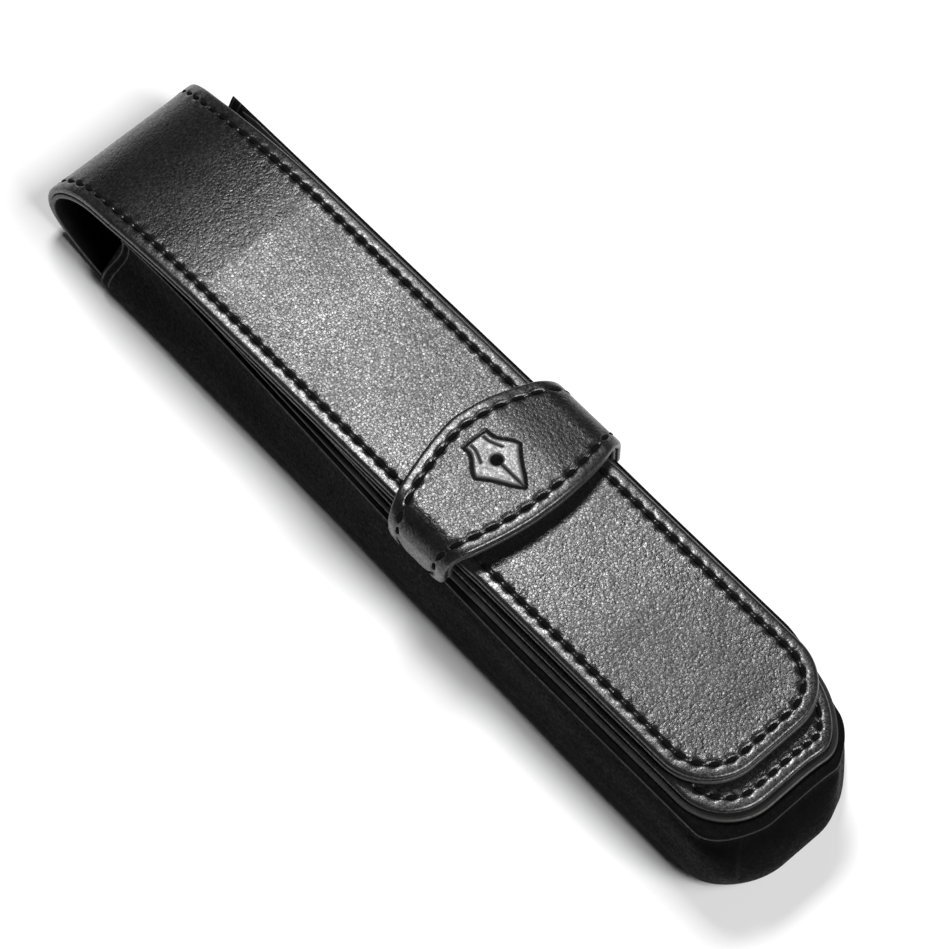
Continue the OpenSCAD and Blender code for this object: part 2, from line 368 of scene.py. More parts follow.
def sheet(name, edge, place, section, material, rise=None, under=None, emblem=None):
    """A closed sheet of leather over an outline. rise and under lift the
    upper and the lower face inside the border, and emblem marks the upper."""
    e, h, puff = section[:, 0], section[:, 1], section[:, 2]
    count = edge.count
    n, m = len(count), len(e)
    along = edge.point[:, :1] + edge.inward[:, :1] * e[None]
    across = edge.point[:, 1:] + edge.inward[:, 1:] * e[None]
    height = h[None] + puff[None] * lump(count)[:, None]
    inset = np.tile(e, (n, 1))

    rows = edge.near_n
    cols = edge.columns
    last_row = rows - 1 if edge.rounded else rows
    f = np.arange(1, cols)[None] / cols
    partner = n - 1 - np.arange(last_row)

    def fill(j, base):
        """Rows of places between the two sides, inside the border."""
        a = along[:last_row, j, None] * (1 - f) + along[partner, j][:, None] * f
        y = across[:last_row, j, None] * (1 - f) + across[partner, j][:, None] * f
        z = np.full(a.shape, float(base))
        return a, y, z

    top_a, top_y, top_z = fill(m - 1, 0.0)
    low_a, low_y, low_z = fill(0, h[0])
    if rise is not None:
        top_z = top_z + rise(top_a, top_y)
    if under is not None:
        low_z = low_z + under(low_a, low_y)
    parts_a = [along.ravel(), top_a.ravel(), low_a.ravel()]
    parts_y = [across.ravel(), top_y.ravel(), low_y.ravel()]
    parts_h = [height.ravel(), top_z.ravel(), low_z.ravel()]
    a, y, hh = [np.concatenate(p) for p in (parts_a, parts_y, parts_h)]
    verts = place(a, y, hh)
    masks = {"inset": np.concatenate([inset.ravel(), np.full(top_a.size + low_a.size, e[-1])])}
    if emblem is not None:
        pressed, filled = emblem(top_a.ravel(), top_y.ravel())
        before, after = np.zeros(along.size), np.zeros(low_a.size)
        masks["pressed"] = np.concatenate([before, pressed, after])
        masks["filled"] = np.concatenate([before, filled, after])

    top_start = along.size
    low_start = top_start + top_a.size
    faces, caps = [], []

    def band(i, j):
        """The vertex at outline point i and section point j."""
        return i * m + j

    def cell(start, i, c, j):
        """A vertex of a filled row: its ends belong to the edge band."""
        if edge.rounded and i == rows - 1:
            return band(rows - 1 + c, j)
        if c == 0:
            return band(i, j)
        if c == cols:
            return band(n - 1 - i, j)
        return start + i * (cols - 1) + c - 1

    for i in range(n - 1):
        if not edge.rounded and i == rows - 1:
            continue
        for j in range(m - 1):
            faces.append((band(i, j), band(i, j + 1), band(i + 1, j + 1), band(i + 1, j)))
    for start, j in ((top_start, m - 1), (low_start, 0)):
        for i in range(rows - 1):
            for c in range(cols):
                quad = [cell(start, i, c, j), cell(start, i, c + 1, j),
                        cell(start, i + 1, c + 1, j), cell(start, i + 1, c, j)]
                faces.append(quad if j else quad[::-1])

    def cap(i):
        """Closes the sheet where it is cut straight across."""
        loop = [band(i, j) for j in range(m)]
        loop += [cell(top_start, i, c, m - 1) for c in range(1, cols)]
        loop += [band(n - 1 - i, j) for j in reversed(range(m))]
        loop += [cell(low_start, i, c, 0) for c in reversed(range(1, cols))]
        caps.append(len(faces))
        faces.append(loop)

    cap(0)
    if not edge.rounded:
        cap(rows - 1)
    return add_mesh(name, verts, faces, material, masks, caps)


def stations(start, end):
    """Even places with one more ring close to each end, so that the shading
    carries on over a joint between two pieces."""
    close = 0.03
    n = max(2, int(round((end - start) / STEP)))
    inner = np.linspace(start, end, n + 1)
    return np.concatenate([[start, start + close], inner[1:-1], [end - close, end]])


def stitch_numbers(edge):
    """The stitch counts, each at a stitch's middle, that fit on an outline."""
    low, high = edge.count.min(), edge.count.max()
    return np.arange(math.ceil(low - 0.5), math.floor(high - 0.5) + 1) + 0.5


def stitches(name, edge, place, counts):
    """Threads that come up at one hole, arch over and go down at the next."""
    rings = np.linspace(-1, 1, 7)
    sides = 6
    end_dip, flatness = 0.34, 0.8
    verts, faces = [], []
    for index, count in enumerate(counts):
        lean = 0.1 * (1 + 0.3 * math.sin(index * 2.3))
        for u in rings:
            c = count + u * STITCH_L / 2 / PITCH
            radius = THREAD_R * math.sqrt(max(0.05, 1 - 0.72 * abs(u) ** 3))
            centre = edge.place_at(c, STITCH_INSET + lean * u)
            inward = edge.inward_at(c)
            lift = THREAD_RISE - end_dip * u * u * abs(u)
            for k in range(sides):
                w = 2 * math.pi * k / sides
                spot = centre + inward * radius * math.cos(w)
                verts.append((spot[0], spot[1], lift + radius * flatness * math.sin(w)))
        base = index * len(rings) * sides
        for r in range(len(rings) - 1):
            q = base + r * sides
            for k in range(sides):
                after = (k + 1) % sides
                faces.append((q + k, q + after, q + sides + after, q + sides + k))
        faces.append([base + k for k in range(sides)])
        end = base + (len(rings) - 1) * sides
        faces.append([end + k for k in range(sides)])
    v = np.array(verts)
    return add_mesh(name, place(v[:, 0], v[:, 1], v[:, 2]), faces, black_thread)


# ---- materials ----
BLACK = (0.0065, 0.0065, 0.0068)
BLACK_LIGHT = (0.011, 0.011, 0.0115)
# Lighter edge colour: partly rubbed wear, partly a painted highlight
WORN_AND_HIGHLIGHT = (0.035, 0.034, 0.033)
GUSSET_BLACK = (0.0025, 0.0025, 0.0026)
GUSSET_LIGHT = (0.004, 0.004, 0.004)
LINING_BLACK = (0.009, 0.009, 0.009)
LINING_LIGHT = (0.015, 0.015, 0.0145)
# Light grey of the nib's face: a painted sheen
EMBLEM_FACE_PAINTED_SHEEN = (0.13, 0.13, 0.13)
EMBLEM_LINE = (0.0015, 0.0015, 0.0015)
THREAD_DARK = (0.0015, 0.0015, 0.0015)
THREAD_LIGHT = (0.005, 0.005, 0.005)
BOARD_DARK = (0.12, 0.11, 0.10)
BOARD_LIGHT = (0.22, 0.21, 0.19)


class Nodes:
    """Short calls for building a material's nodes."""

    def __init__(self, name):
        self.material = bpy.data.materials.new(name)
        self.material.use_nodes = True
        self.tree = self.material.node_tree
        self.shader = self.tree.nodes["Principled BSDF"]

    def add(self, kind, **settings):
        node = self.tree.nodes.new(kind)
        for key, value in settings.items():
            setattr(node, key, value)
        return node

    def link(self, out, socket):
        self.tree.links.new(out, socket)

    def attribute(self, name, output="Vector"):
        return self.add("ShaderNodeAttribute", attribute_name=name).outputs[output]

    def stretched(self, vector, scale):
        node = self.add("ShaderNodeVectorMath", operation="MULTIPLY")
        self.link(vector, node.inputs[0])
        node.inputs[1].default_value = scale
        return node.outputs[0]

    def noise(self, vector, scale, detail=3.0, rough=0.55):
        node = self.add("ShaderNodeTexNoise")
        self.link(vector, node.inputs["Vector"])
        node.inputs["Scale"].default_value = scale
        node.inputs["Detail"].default_value = detail
        node.inputs["Roughness"].default_value = rough
        return node.outputs["Fac"]

    def cell_edges(self, vector, scale):
        node = self.add("ShaderNodeTexVoronoi", feature="DISTANCE_TO_EDGE")
        self.link(vector, node.inputs["Vector"])
        node.inputs["Scale"].default_value = scale
        return node.outputs["Distance"]

    def math(self, operation, a, b):
        node = self.add("ShaderNodeMath", operation=operation)
        for socket, value in zip(node.inputs, (a, b)):
            if isinstance(value, (int, float)):
                socket.default_value = value
            else:
                self.link(value, socket)
        return node.outputs[0]

    def spread(self, value, low, high, to_low=0.0, to_high=1.0):
        node = self.add("ShaderNodeMapRange", clamp=True)
        self.link(value, node.inputs["Value"])
        for socket, number in zip(("From Min", "From Max", "To Min", "To Max"),
                                  (low, high, to_low, to_high)):
            node.inputs[socket].default_value = number
        return node.outputs["Result"]

    def mix(self, factor, a, b):
        node = self.add("ShaderNodeMix", data_type="RGBA")
        self.link(factor, node.inputs["Factor"])
        for socket, colour in ((node.inputs[6], a), (node.inputs[7], b)):
            if isinstance(colour, tuple):
                socket.default_value = (*colour, 1.0)
            else:
                self.link(colour, socket)
        return node.outputs[2]

    def bump(self, height, strength, distance, below=None):
        node = self.add("ShaderNodeBump")
        self.link(height, node.inputs["Height"])
        node.inputs["Strength"].default_value = strength
        node.inputs["Distance"].default_value = distance
        if below is not None:
            self.link(below, node.inputs["Normal"])
        return node.outputs["Normal"]


def leather(name, dark, light, rough, sheen_rough=0.12, grain=0.5, depth=1.0, specular=0.5,
            wear_and_highlight=0.35, patchy=0.0, burnish=None, emblem=False):
    """Dyed leather: pebbled grain with fine pores, mottled dye, gloss that
    varies from grain to grain, and edges made a little lighter, partly by wear
    and partly as a painted highlight.

    grain is the size of a pebble in millimetres and depth how deep it is,
    patchy is how much the shine varies from place to place, and burnish is
    the shine of a polished edge and the distances in from it over which it
    goes back to the plain value."""
    n = Nodes(name)
    rest = n.attribute("rest")
    inset = n.attribute("inset", "Fac")
    mottle = n.noise(rest, 0.22, 4.0)
    cloud = n.noise(rest, 0.05, 2.0)
    pebble = n.cell_edges(rest, 1 / grain)
    pore = n.noise(rest, 1.0 / grain, 1.2, 0.5)
    valley = n.spread(pebble, 0.0, 0.16)

    # Colour: mottled dye, edges lightened partly by wear and partly as a painted highlight, and
    # dark valleys
    colour = n.mix(n.spread(mottle, 0.35, 0.65), dark, light)
    rubbed_and_highlight = n.math("MULTIPLY", n.spread(inset, 1.7, 0.5), n.spread(mottle, 0.3, 0.7, 0.4, 1.0))
    colour = n.mix(n.math("MULTIPLY", rubbed_and_highlight, wear_and_highlight), colour, WORN_AND_HIGHLIGHT)
    deepest = tuple(c * 0.4 for c in dark)
    colour = n.mix(n.spread(valley, 0.0, 1.0, 0.45, 0.0), colour, deepest)

    # Gloss, and the height that its bump comes from
    gloss = n.spread(pore, 0.3, 0.7, rough - sheen_rough, rough + sheen_rough)
    gloss = n.math("ADD", gloss, n.spread(cloud, 0.3, 0.7, -0.04, 0.04))
    gloss = n.math("ADD", gloss, n.spread(valley, 0.0, 1.0, 0.12, 0.0))
    height = n.math("ADD", n.math("MULTIPLY", valley, 0.22), n.math("MULTIPLY", pore, 1.7))
    if emblem:
        pressed = n.attribute("pressed", "Fac")
        filled = n.attribute("filled", "Fac")
        # The nib's face is painted light grey, a painted sheen of its raised face
        colour = n.mix(filled, colour, EMBLEM_FACE_PAINTED_SHEEN)
        colour = n.mix(pressed, colour, EMBLEM_LINE)
        calm = n.math("SUBTRACT", 1.0, n.math("MULTIPLY", filled, 0.9))
        height = n.math("MULTIPLY", height, calm)
        gloss = n.math("ADD", gloss, n.math("MULTIPLY", pressed, 0.35))
    gloss = n.math("MAXIMUM", gloss, 0.12)
    swell = n.bump(n.noise(rest, 0.55, 3.0), 0.25 * depth, 0.0003)
    height = n.math("MULTIPLY", height, n.spread(inset, 0.6, 2.8, 0.25, 1.0))
    normal = n.bump(height, 0.8 * depth, 0.00006, swell)
    n.link(colour, n.shader.inputs["Base Color"])
    n.link(gloss, n.shader.inputs["Roughness"])
    n.link(normal, n.shader.inputs["Normal"])

    # Shine: specks on the face and a polished border, or a burnished edge
    if burnish is None:
        speck = n.noise(rest, 2.6, 2.0, 0.6)
        level = n.spread(speck, 0.3, 0.7, specular * (1 - patchy), specular * (1 + patchy))
        level = n.math("MULTIPLY", level, n.spread(inset, 1.5, 2.3, 1.3, 1.0))
    else:
        shine, near, far = burnish
        level = n.spread(inset, near, far, shine, specular)
    if emblem:
        level = n.math("MULTIPLY", level, n.spread(pressed, 0.0, 1.0, 1.0, 0.12))
    n.shader.inputs["Specular IOR Level"].default_value = specular
    n.link(level, n.shader.inputs["Specular IOR Level"])
    return n.material


def thread(name):
    """Twisted black thread with a wax shine."""
    n = Nodes(name)
    rest = n.attribute("rest")
    ply = n.add("ShaderNodeTexWave", wave_type="BANDS", bands_direction="DIAGONAL")
    n.link(rest, ply.inputs["Vector"])
    ply.inputs["Scale"].default_value = 2.2
    ply.inputs["Distortion"].default_value = 1.0
    fuzz = n.noise(rest, 6.0)
    colour = n.mix(ply.outputs["Fac"], THREAD_DARK, THREAD_LIGHT)
    n.link(colour, n.shader.inputs["Base Color"])
    n.link(n.spread(fuzz, 0.3, 0.7, 0.7, 0.9), n.shader.inputs["Roughness"])
    n.link(n.bump(ply.outputs["Fac"], 0.6, 0.00006), n.shader.inputs["Normal"])
    n.shader.inputs["Specular IOR Level"].default_value = 0.08
    return n.material


def fibre_board(name):
    """Grey stiffening board, hidden between the leather and the lining."""
    n = Nodes(name)
    spot = n.add("ShaderNodeTexCoord").outputs["Object"]
    fibre = n.noise(n.stretched(spot, (900.0, 2500.0, 2500.0)), 1.0, 4.0)
    colour = n.mix(n.spread(fibre, 0.3, 0.7), BOARD_DARK, BOARD_LIGHT)
    n.link(colour, n.shader.inputs["Base Color"])
    n.link(n.spread(fibre, 0.3, 0.7, 0.75, 0.95), n.shader.inputs["Roughness"])
    n.link(n.bump(fibre, 0.4, 0.00005), n.shader.inputs["Normal"])
    return n.material


calf_look = dict(rough=0.27, sheen_rough=0.08, depth=0.7, patchy=0.6)
calf = leather("calf_leather", BLACK, BLACK_LIGHT, **calf_look)
calf_band = leather("calf_leather_band", BLACK, BLACK_LIGHT, emblem=True, **calf_look)
soft_calf = leather("gusset_leather", GUSSET_BLACK, GUSSET_LIGHT, rough=0.6, grain=0.6,
                    specular=0.03, wear_and_highlight=0.1, burnish=(0.5, 0.4, 1.6))
skiver = leather("lining_leather", LINING_BLACK, LINING_LIGHT, rough=0.5, grain=0.35,
                 depth=0.7, specular=0.06, wear_and_highlight=0.5, burnish=(0.9, 0.1, 0.35))
black_thread = thread("black_thread")
board = fibre_board("fibre_board")


# ---- the strip: back, fold and flap ----
def flap_swell(a, y):
    """Slow unevenness of the leather, nothing at the edges."""
    size, seed = 0.1, 3.0
    waves = ripple(a, y, 0.06, seed)
    fine_waves = ripple(a, y, 0.21, seed + 5)
    fade = smooth(FLAP_HALF - BORDER - np.abs(y), 0, 3) * smooth(TIP_A - BORDER - a, 0, 3)
    return fade * (size * waves + 0.25 * size * fine_waves)


# The strip's pieces meet near the nose and at the lines where the flap bends
NOSE_CUT = strip_along(3.2)
REAR_CUT = strip_along(30.0)
MIDDLE_CUT = strip_along(62.0)
side_len = (TIP_A - FLAP_CORNER) - (BACK_A + BACK_CORNER)
SIDE_PITCH = side_len / round(side_len / PITCH)


def side_edge(start, end, half):
    """Outline of a stretch of the flap's two sides, counted from its tip."""
    edge = Edge(stations(start, end), half, pitch=SIDE_PITCH)
    shift = (end - (TIP_A - FLAP_CORNER)) / SIDE_PITCH
    near = edge.count[:edge.near_n] + shift
    edge.count = np.concatenate([near, -near[::-1]])
    return edge


def back_place(b, y, h):
    """The strip the other way round, with b growing along the back."""
    return strip_place(-b, y, h)


def back_half(b):
    return strip_half(-b)


def board_pocket(b, y):
    """The leather is thinner where the stiffening board lies in it."""
    pocket_depth = 0.52
    inside = smooth(b, 3.2, 3.9) * smooth(-b, BACK_A + 4.1, BACK_A + 5.0)
    return pocket_depth * inside


def strip_piece(name, start, end):
    """Outer leather, lining and stitches of a stretch of the flap. The flap's tip
    has no end."""
    def outline(out):
        half = lambda a: strip_half(a) + out
        if end is not None:
            return side_edge(start, end, half)
        return Edge(stations(start, TIP_A - FLAP_CORNER), half, TIP_A + out,
                    FLAP_CORNER + out, pitch=SIDE_PITCH)

    edge = outline(0.0)
    outer = sheet(f"{name}_leather", edge, strip_place, leather_section(LEATHER), calf,
                  rise=flap_swell)
    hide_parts(name)
    inner = sheet(f"{name}_lining_leather", outline(LINING_OUT),
                  lambda a, y, h: strip_place(a, y, h - LEATHER), plain_section(LINING), skiver)
    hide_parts(f"{name}_lining")
    numbers = stitch_numbers(edge)
    if end is not None:
        near_top, far_low = edge.count[edge.near_n - 1:edge.near_n + 1]
        numbers = numbers[(numbers <= near_top) | (numbers >= far_low)]
    threads = stitches(f"{name}_stitches", edge, strip_place, numbers)
    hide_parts(f"{name}_stitching")
    for obj in (outer, inner, threads):
        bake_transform(obj)


strip_piece("flap_rear", NOSE_CUT, REAR_CUT)
strip_piece("flap_middle", REAR_CUT, MIDDLE_CUT)
strip_piece("flap_tip", MIDDLE_CUT, None)


def back_and_fold():
    """The strip's back and the fold up to its nose, in one piece."""
    edge = Edge(stations(-NOSE_CUT, -(BACK_A + BACK_CORNER)), back_half, -BACK_A, BACK_CORNER,
                pitch=SIDE_PITCH)
    obj = sheet("back_and_fold_leather", edge, back_place, leather_section(LEATHER), calf,
                under=board_pocket)
    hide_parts("back_panel", "fold_loop")
    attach(obj, "pouch")
    inner = Edge(stations(-NOSE_CUT, -(BACK_A + BACK_CORNER)), lambda b: back_half(b) + LINING_OUT,
                 -BACK_A + LINING_OUT, BACK_CORNER + LINING_OUT, pitch=SIDE_PITCH)
    obj = sheet("back_and_fold_lining", inner, lambda b, y, h: back_place(b, y, h - LEATHER),
                plain_section(LINING), skiver)
    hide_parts("back_lining", "fold_loop_lining")
    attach(obj, "pouch")
    obj = stitches("back_and_fold_stitches", edge, back_place, stitch_numbers(edge))
    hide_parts("back_stitching", "fold_loop_stitching")
    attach(obj, "pouch")


back_and_fold()
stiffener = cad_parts["back_stiffener"]
stiffener.data.materials.clear()
stiffener.data.materials.append(board)


# ---- pouch ----
roof_s = np.linspace(LOWER_LEN, FOLD_LEN, 300)
roof_p, roof_t = strip_path.at(roof_s)


def roof_z(x, depth):
    """Height at x of the surface that lies a depth below the flap's face."""
    p = roof_p - depth * np.stack([-roof_t[:, 1], roof_t[:, 0]], -1)
    return np.interp(x, p[:, 0], p[:, 1])


def mouth_shift(x, y):
    """The mouth is cut at a slant, which dies out along the pouch."""
    return x - y * MOUTH_SLANT * (1 - smooth(x, MOUTH_X, MOUTH_X + 26))


def far_corner(x, y):
    """How far into the pouch's far closed corner a point lies, 0 to 1."""
    return smooth(y, 0, PANEL_HALF + 0.6) * smooth(x, PANEL_REACH - 20, PANEL_REACH - 1)


def near_pinch(x):
    """The pouch's near side is narrower at the mouth than at the closed end."""
    at_mouth, gain = 0.80, 0.23
    return at_mouth + gain * smooth(x, 0, 120)


def pouch_sink(x):
    """The pouch's top is a little low, and lower still past the keeper."""
    return POUCH_SINK + CLOSED_END_SINK * smooth(x, 95, 115)


def panel_place(depth):
    """Places on a surface of the front panel, a depth below the flap's face.
    Its far side curls up at the mouth, where the flap turns down."""
    corner_in, corner_out = 3.6, 0.9
    under, most_curl = 1.2, 2.4

    def place(a, y, h):
        x = mouth_shift(a, y)
        corner = far_corner(x, y)
        across = np.where(y < 0, y * np.minimum(near_pinch(x), 1), y - corner_in * corner)
        roof = roof_z(x, depth) - pouch_sink(x)
        slope = PANEL_TOP - under - roof_z(x, FLAP_TOP - PANEL_TOP + under)
        curl = np.clip(slope, 0, most_curl) * smooth(y, 14.5, PANEL_HALF + 0.6)
        return np.stack([x + corner_out * corner, across, roof + curl + h], -1)
    return place


def front_panel():
    """The panel's leather, stitches and lining. The leather stops short of
    the CAD's outline, and the lining stands out past it."""
    side_in, end_in, lining_out, lining_end_out = 0.35, 0.9, 0.5, 0.2
    reach = PANEL_REACH - end_in
    corner = PANEL_CORNER - end_in
    edge = Edge(stations(MOUTH_X, reach - corner), lambda a: PANEL_HALF - side_in + 0 * a,
                reach, corner)
    obj = sheet("front_panel_leather", edge, panel_place(FLAP_TOP - PANEL_TOP),
                leather_section(PANEL_T), calf)
    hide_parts("front_panel")
    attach(obj, "pouch")
    low, high = edge.count.min(), edge.count.max()
    numbers = np.arange(math.ceil(low + 0.5), math.floor(high - 0.5)) + 0.5
    obj = stitches("front_panel_stitches", edge, panel_place(FLAP_TOP - PANEL_TOP), numbers)
    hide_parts("front_panel_stitching")
    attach(obj, "pouch")
    reach = PANEL_REACH + lining_end_out
    lining_edge = Edge(stations(MOUTH_X, reach - PANEL_CORNER),
                       lambda a: PANEL_HALF + lining_out + 0 * a, reach, PANEL_CORNER)
    obj = sheet("front_panel_lining_leather", lining_edge,
                panel_place(FLAP_TOP - PANEL_TOP + PANEL_T + 0.02),
                plain_section(PANEL_LINING_T), skiver)
    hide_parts("front_panel_lining")
    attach(obj, "pouch")


front_panel()


# What the wall's "inset" mask says away from its burnished edges
UNSHINED = 3.0


def rail(name, edge, loop, place, material, shine=None):
    """A closed wall: a section carried along an outline. loop gives the
    inset and the height of each section point for every outline point."""
    inset, height = loop
    n, m = inset.shape
    along = edge.point[:, :1] + edge.inward[:, :1] * inset
    across = edge.point[:, 1:] + edge.inward[:, 1:] * inset
    verts = place(along.ravel(), across.ravel(), height.ravel())
    faces = []
    for i in range(n - 1):
        for j in range(m):
            k = (j + 1) % m
            faces.append((i * m + j, i * m + k, (i + 1) * m + k, (i + 1) * m + j))
    caps = [len(faces), len(faces) + 1]
    faces.append(list(range(m)))
    faces.append([(n - 1) * m + j for j in range(m)])
    masks = {"inset": np.full(n * m, UNSHINED) if shine is None else shine.ravel()}
    return add_mesh(name, verts, faces, material, masks, caps)


def wall_place(a, y, z):
    """Keeps the wall under the front panel's slope towards the mouth, leans
    its near side in there, and draws in its far closed corner."""
    x = mouth_shift(a, y)
    x = x - 3.0 * (1 - smooth(z, 2, 17)) * (1 - smooth(x, 14, 44)) * smooth(-y, 8, 15)
    corner = far_corner(x, y)
    drawn_along = 3.0 + 3.8 * smooth(z, 2, 10) - 7.4 * smooth(z, 10, 18)
    drawn_across = 1.6 + 3.2 * smooth(z, 10, 15)
    lean = y * (1 + (near_pinch(x) - 1) * smooth(z, 2, 15))
    across = np.where(y < 0, lean, y - drawn_across * corner)
    roof = roof_z(x, FLAP_TOP - GUSSET_TOP)
    drop = (GUSSET_TOP - roof) * (1 - smooth(y, 14.6, 16)) + pouch_sink(x)
    drop = drop * smooth(z, 6, GUSSET_TOP)
    return np.stack([x - drawn_along * corner, across, z - drop], -1)


def ridge(x, middle, width):
    """1 at the middle, dying out evenly on both sides."""
    return np.exp(-((x - middle) / width) ** 2)


def gusset():
    """The wall's leather and its lining."""
    half, reach, corner = GUSSET_HALF, GUSSET_REACH, GUSSET_CORNER
    fine_end = MOUTH_X + 3.4
    first = np.concatenate([np.arange(MOUTH_X, fine_end, 0.16),
                            np.arange(fine_end + 0.4, reach - corner, 0.6)])
    edge = Edge(np.append(first, reach - corner), lambda a: half + 0 * a, reach, corner,
                columns=14, step=0.3)
    a = edge.point[:, :1]
    run = np.cumsum(np.r_[0, np.linalg.norm(np.diff(edge.point, axis=0), axis=1)])[:, None]
    endness = smooth((a - reach + corner) / corner, 0, 1)
    foot, top = 2.0, GUSSET_TOP
    tall = top - foot

    # The outer face from the back's seam up: height over the seam, and how
    # far the face stands in from the fullest outline at the sides and the end
    face = np.array([
        (0.0, 4.4, 4.4), (0.0, 1.6, 2.6), (0.12, 1.1, 2.0), (0.45, 0.85, 1.7),
        (1.1, 0.62, 1.35), (2.0, 0.42, 1.05), (3.0, 0.28, 0.75), (4.2, 0.12, 0.45),
        (6.0, 0.0, 0.15), (8.0, 0.03, 0.0), (10.0, 0.15, 0.4), (11.6, 0.3, 0.95),
        (12.7, 0.45, 1.6), (13.4, 0.58, 2.2), (14.1, 0.72, 2.9), (14.8, 0.86, 3.45),
        (tall - 0.75, 0.82, 3.6), (tall - 0.45, 0.66, 3.5), (tall - 0.2, 0.74, 3.55),
        (tall - 0.05, 1.0, 3.8), (tall, 1.5, 4.1), (tall, 4.4, 6.4)])
    m = len(face)
    level = face[None, :, 0]
    inset = face[None, :, 1] * (1 - endness) + face[None, :, 2] * endness
    height = np.tile(level + foot, (len(a), 1))
    free = (level > 0) & (level < tall - 0.5)

    # Low on the near and far walls the leather sags outwards along the pouch
    sag = np.clip((a - 50) / 85, 0, 1) * (1 - endness)
    inset = inset - 1.05 * sag * smooth(level, 0, 0.6) * (1 - smooth(level, 2.5, 8))

    # Slow waves, and a pleat whose edge stands out at the near closed corner
    waves = np.array([[noise.noise(Vector((q * 0.045, z * 0.12, 9.0))) for z in face[:, 0]]
                      for q in run[:, 0]])
    inset = inset - 0.28 * waves * free * np.sin(np.pi * np.clip(level / 16, 0, 1))
    pleat = run[edge.near_n - 1, 0] - 0.52 * corner * math.pi / 2
    before = smooth(run, pleat - 14, pleat - 1) * (1 - smooth(run, pleat, pleat + 0.5))
    after = smooth(run, pleat + 0.2, pleat + 0.7) * (1 - smooth(run, pleat + 0.7, pleat + 6))
    pleat_height = smooth(level, 3, 8) * (1 - smooth(level, 13.0, 14.6))
    inset = inset - (0.65 * before - 0.3 * after) * pleat_height

    # A turned hem round the mouth: two low ridges with a groove between them
    start = np.minimum(run, run[-1] - run)
    hem = 0.2 * ridge(start, 0.55, 0.35) - 0.2 * ridge(start, 1.35, 0.22)
    hem = hem + 0.14 * ridge(start, 1.95, 0.3)
    inset = inset - hem * free

    # The wall's inner face, a leather's thickness further in, turned in at
    # its foot and its top
    inner = inset + GUSSET_T
    depth = np.clip(np.minimum(height - foot, top - height), 0, GUSSET_T)
    inner_height = height + np.where(height < (foot + top) / 2, GUSSET_T - depth,
                                     depth - GUSSET_T)
    inner[:, 0] = inset[:, 0]
    inner[:, -1] = inset[:, -1]
    loop = (np.concatenate([inset, inner[:, ::-1]], 1),
            np.concatenate([height, inner_height[:, ::-1]], 1))

    # Burnished lines along the top fold and round the mouth: they shine more, and their lightened
    # colour is a painted highlight
    shine = np.full((len(a), 2 * m), UNSHINED)
    shine[:, m - 6:m - 3] = (1.2, 0.2, 0.5)
    lines = ridge(start, 0.45, 0.3) + ridge(start, 1.95, 0.25)
    shine = np.minimum(shine, UNSHINED - 2.4 * np.minimum(lines, 1))
    obj = rail("gusset_wall", edge, loop, wall_place, soft_calf, shine)
    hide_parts("gusset")
    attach(obj, "pouch")

    # The lining stops short of the wall's turned edges
    against = inner + 0.03
    skin = inner + 0.6
    rows = slice(3, m - 3)
    loop = (np.concatenate([against[:, rows], skin[:, rows][:, ::-1]], 1),
            np.concatenate([inner_height[:, rows], inner_height[:, rows][:, ::-1]], 1))
    obj = rail("gusset_wall_lining", edge, loop, wall_place, skiver)
    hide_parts("gusset_lining")
    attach(obj, "pouch")


gusset()


# ---- keeper band ----
def arch_path():
    """The band's outer face seen from the case's end, foot to foot."""
    half, top, r = KEEPER_HALF, KEEPER_TOP, KEEPER_ROUND
    near = [(-half, KEEPER_FOOT + NEAR_FOOT_RISE)]
    turn = np.linspace(math.pi, math.pi / 2, 24)
    near += [(-half + r + r * math.cos(w), top - r + r * math.sin(w)) for w in turn]
    near.append((0.0, top))
    points = near + [(-y, z) for y, z in near[-2:0:-1]] + [(half, KEEPER_FOOT)]
    dense = Path(np.array(points, float))
    spots = dense.at(np.linspace(0, dense.length[-1], 500))[0]
    spots[:, 1] -= KEEPER_FALL * smooth(spots[:, 0], 4, 17)
    return Path(spots)


keeper_path = arch_path()
KEEPER_LEN = keeper_path.length[-1]
keeper_a = np.linspace(0, KEEPER_LEN, 2000)
KEEPER_MID = float(np.interp(0, keeper_path.at(keeper_a)[0][:, 0], keeper_a))


def keeper_centre(y):
    """Where the band's middle line is. Both its ends lie further out, and the
    far one more than the near one."""
    askew = KEEPER_SKEW * np.maximum(y, 0) + KEEPER_NEAR_SKEW * np.maximum(-y, 0)
    return KEEPER_X + KEEPER_FURTHER_OUT + askew


def keeper_place(a, v, h):
    """a runs along the band from its near foot, v across it."""
    p, t = keeper_path.at(a)
    out = np.stack([-t[..., 1], t[..., 0]], -1)
    p = p + h[..., None] * out
    return np.stack([keeper_centre(p[..., 0]) + v, p[..., 0], p[..., 1]], -1)


def keeper_half_w(a):
    """Half width along the band: widest over the flap, rounded at its feet."""
    bow = KEEPER_HALF_W - KEEPER_END_HALF_W
    y = keeper_path.at(a)[0][..., 0]
    reach = np.minimum(np.abs(y) / KEEPER_HALF, 1)
    half = KEEPER_HALF_W - np.where(y > 0, bow * reach**2, (bow + 0.65) * reach**1.5)
    foot = np.minimum(a, KEEPER_LEN - a)
    r = 1.8
    part = np.clip(r - foot, 0, r)
    return half - (r - np.sqrt(r * r - part**2)) * 0.9


# The nib pressed into the band: half its length, and half its width at its
# base and at its shoulders
NIB_L = 5.6
NIB_BASE = 2.2
NIB_SHOULDER = 4.4


def nib_half(u):
    """Half width of the nib at u, from its base to its point."""
    base, shoulder = -NIB_L, -0.6
    width = NIB_BASE + (NIB_SHOULDER - NIB_BASE) * smooth(u, base + 1.0, shoulder)
    tip = np.clip((u - shoulder) / (NIB_L - shoulder), 0, 1)
    tapered = NIB_SHOULDER * (1 - tip) ** 0.85 * (1 - 0.12 * np.sin(np.pi * tip))
    return np.where(u > shoulder, tapered, width)


